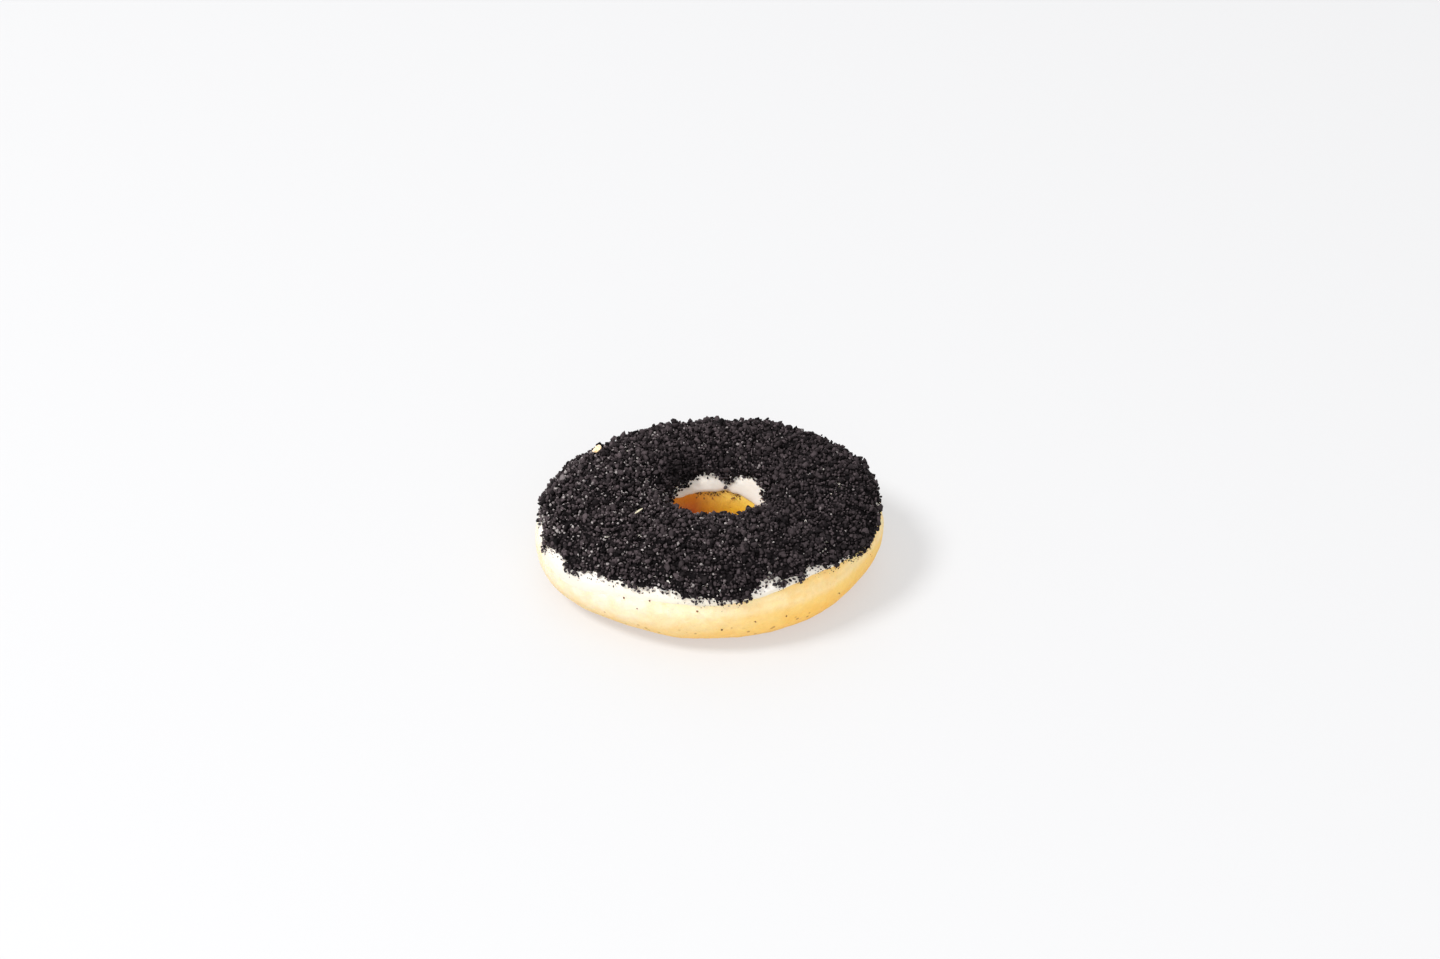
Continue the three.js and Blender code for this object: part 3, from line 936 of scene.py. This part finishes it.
def resting_place(node):
    """Where a CAD node rests on the ring: its turn and tilt, its centre, and the directions along
    the ring, across it and off it."""
    centre = box_centre(node)
    turns, tilts = grid(np.linspace(0, 2 * math.pi, 720), np.linspace(-1, math.pi + 1, 400))
    points, normals = ring_points(turns, tilts)
    nearest = np.unravel_index(((points - centre) ** 2).sum(axis=-1).argmin(), turns.shape)
    up = normals[nearest]
    along = np.array((-math.sin(turns[nearest]), math.cos(turns[nearest]), 0))
    along -= up * (along @ up)
    along /= np.linalg.norm(along)
    return turns[nearest], tilts[nearest], centre, np.array((along, np.cross(up, along), up))


def build_clump(node, material, grains=22):
    """A heap of crumbs that stands where the CAD model has a clump, with its foot in the bed."""
    _, _, centre, directions = resting_place(node)
    spread = draw.normal(0, 1, (grains, 3)) * CLUMP_SPREAD
    spread[:, 2] -= 0.75 + 0.25 * (spread[:, :2] ** 2).sum(axis=1)
    spread[:, 2] = np.maximum(spread[:, 2], -CLUMP_DEPTH)
    sizes = np.clip(draw.normal(1.05, 0.25, grains), 0.6, 1.6)
    centres = centre + spread @ directions
    piece = grain_mesh(f"{node}_grains", centres, sizes, grain_tones(centres, sizes))
    finish_piece(piece, "crumbs", material, node)


def build_stray(node, material):
    """One small crumb on the bare dough."""
    turn, tilt, centre, _ = resting_place(node)
    size = 1.05 * np.ptp(np.array(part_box(node)) / MM, axis=0).mean()
    points, normals = ring_points(turn, tilt)
    skin = points + normals * dough_lift(points, tilt)
    height = (centre - skin) @ normals
    centre = centre - normals * (height - STRAY_RISE * size)
    piece = grain_mesh(f"{node}_grain", centre[None], np.array([size]), np.array([draw.uniform(0.3, 0.7)]))
    finish_piece(piece, "crumbs", material, node)


def build_chip(node, material):
    """A flat broken flake, with its length along the ring, let down a little among the crumbs."""
    _, _, centre, directions = resting_place(node)
    points, faces = octahedron(FLAKE_SPLITS)
    radius = 1 + 0.30 * noise(points, 0.9, 81) + 0.16 * noise(points, 0.4, 82)
    shape = points * radius[:, None] * CHIP_SIZE / 2
    shape[:, 2] += 0.12 * CHIP_SIZE[2] * noise(points, 0.5, 83)
    piece = make_mesh(node + "_flake", centre + (shape - (0, 0, CHIP_SINK)) @ directions, faces, False)
    add_map(piece, 0.5 + 0.46 * octahedral_places(FLAKE_SPLITS))
    finish_piece(piece, "pale_chip", material, node)


def build_sliver(node, material):
    """A thin, slightly bent shred that lies across its CAD node's box from corner to corner."""
    low, high = (np.array(corner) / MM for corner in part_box(node))
    points, faces = octahedron(FLAKE_SPLITS)
    along = (high - low) * (0.55, 0.55, 0)
    side = np.array((along[1], -along[0], 0)) / np.linalg.norm(along)
    bend = SLIVER_BEND * (1 - points[:, 0] ** 2)
    breadth = points[:, 1] * SLIVER_WIDTH / 2 * (1 + 0.3 * noise(points, 0.7, 91)) + bend
    centre = np.array((*(low + high)[:2] / 2, low[2] + SLIVER_THICKNESS / 2))
    places = centre + points[:, :1] * along + breadth[:, None] * side
    places[:, 2] += points[:, 2] * SLIVER_THICKNESS / 2 + bend
    piece = make_mesh(node + "_shred", places, faces)
    add_map(piece, 0.5 + 0.46 * octahedral_places(FLAKE_SPLITS))
    finish_piece(piece, "pale_sliver", material, node)


def build_small_pieces(crumbs):
    browned = crumb_material("browned_crumb", *BROWNED_COLOURS)
    centres, size = hole_dust()
    dust = grain_mesh("hole_dust", centres, size, draw.uniform(0.2, 0.8, len(size)))
    finish_piece(dust, "crumbs", browned)
    for node in sorted(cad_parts):
        if node.startswith("crumb_clump"):
            build_clump(node, crumbs)
        if node.startswith("stray_crumb"):
            build_stray(node, browned)
    build_chip("pale_chip", pale_material("pale_chip", *CHIP_COLOURS))
    build_sliver("pale_sliver", pale_material("pale_sliver", *SLIVER_COLOURS))


# ---------------------------------------------------------------- stage, light and camera

FLOOR_HALF_SIDE = 3000
FLOOR_DROP = 0.02
FLOOR_COLOUR = (0.30, 0.30, 0.302, 1)
# The floor glows a little, as a light table does, so that it is nearly white and its shadows are soft.
FLOOR_GLOW_COLOUR = (1, 1, 1.01, 1)
FLOOR_GLOW = 0.475
WORLD_COLOUR = (0.985, 0.99, 1.0, 1)
# The world's strength runs from the first value at the first height to the second at the second.
# A height here is the Z of a direction, which is 0 at the horizon and 1 straight up.
WORLD_HEIGHTS = (0.04, 0.34)
WORLD_STRENGTHS = (0.95, 0.66)
# Round lamps that shine at the origin: a name, a place and a width in metres, and a power in watts.
LAMPS = (
    ("key_left", (-1.2, -0.42, 1.79), 0.72, 44),
    ("fill_front", (0.15, -0.9, 0.55), 0.9, 3.6),
    ("fill_back", (0.1, 0.9, 0.9), 0.9, 1.0),
)
# Where the camera stands. The target is counted from the middle of the raw ring.
CAMERA_DISTANCE = 776.8
CAMERA_PITCH = math.radians(38.06)
CAMERA_TARGET = np.array((2.62, 37.75, 0.0))
CAMERA_LENS = 70
CAMERA_SENSOR = 36


def build_floor():
    nodes = Nodes("floor")
    nodes.set(Base_Color=FLOOR_COLOUR, Roughness=0.6, Specular_IOR_Level=0.2)
    nodes.set(Emission_Color=FLOOR_GLOW_COLOUR, Emission_Strength=FLOOR_GLOW)
    half = FLOOR_HALF_SIDE
    corners = [(-half, -half, 0), (half, -half, 0), (half, half, 0), (-half, half, 0)]
    floor = make_mesh("floor", np.array(corners, float), [(0, 1, 2, 3)], False)
    floor.location.z = -FLOOR_DROP * MM
    floor.data.materials.append(nodes.material)


def build_world():
    """A pale studio all round, nearly white at the horizon, where it meets the floor."""
    world = bpy.data.worlds.new("studio")
    world.use_nodes = True
    tree = world.node_tree
    background = tree.nodes["Background"]
    background.inputs["Color"].default_value = WORLD_COLOUR
    direction = tree.nodes.new("ShaderNodeTexCoord")
    split = tree.nodes.new("ShaderNodeSeparateXYZ")
    strength = tree.nodes.new("ShaderNodeMapRange")
    strength.interpolation_type = "SMOOTHSTEP"
    sockets = ("From Min", "From Max", "To Min", "To Max")
    for socket, value in zip(sockets, WORLD_HEIGHTS + WORLD_STRENGTHS):
        strength.inputs[socket].default_value = value
    tree.links.new(direction.outputs["Generated"], split.inputs["Vector"])
    tree.links.new(split.outputs["Z"], strength.inputs["Value"])
    tree.links.new(strength.outputs["Result"], background.inputs["Strength"])
    bpy.context.scene.world = world


def build_lights():
    for name, place, width, power in LAMPS:
        data = bpy.data.lights.new(name, "AREA")
        data.shape = "DISK"
        data.size = width
        data.energy = power
        light = bpy.data.objects.new(name, data)
        light.location = place
        light.rotation_euler = (-Vector(place)).to_track_quat("-Z", "Y").to_euler()
        bpy.context.scene.collection.objects.link(light)


def set_view():
    """Colours are shown as they are, with no film look."""
    settings = bpy.context.scene.view_settings
    settings.view_transform = "Standard"
    settings.look = "None"


def build_camera():
    data = bpy.data.cameras.new("camera")
    data.lens = CAMERA_LENS
    data.sensor_width = CAMERA_SENSOR
    data.clip_start = 0.01
    data.clip_end = 50
    camera = bpy.data.objects.new("camera", data)
    back = Vector((0, -math.cos(CAMERA_PITCH), math.sin(CAMERA_PITCH)))
    camera.location = (Vector(CAMERA_TARGET + RING_SHIFT) + back * CAMERA_DISTANCE) * MM
    camera.rotation_euler = Euler((math.pi / 2 - CAMERA_PITCH, 0, 0))
    bpy.context.scene.collection.objects.link(camera)
    bpy.context.scene.camera = camera


crumbs = crumb_material("biscuit_crumbs", *CRUMB_COLOURS)
build_dough(dough_material())
build_icing(icing_material())
build_bed(crumbs)
build_grains(crumbs)
build_small_pieces(crumbs)
build_floor()
build_world()
build_lights()
set_view()
build_camera()
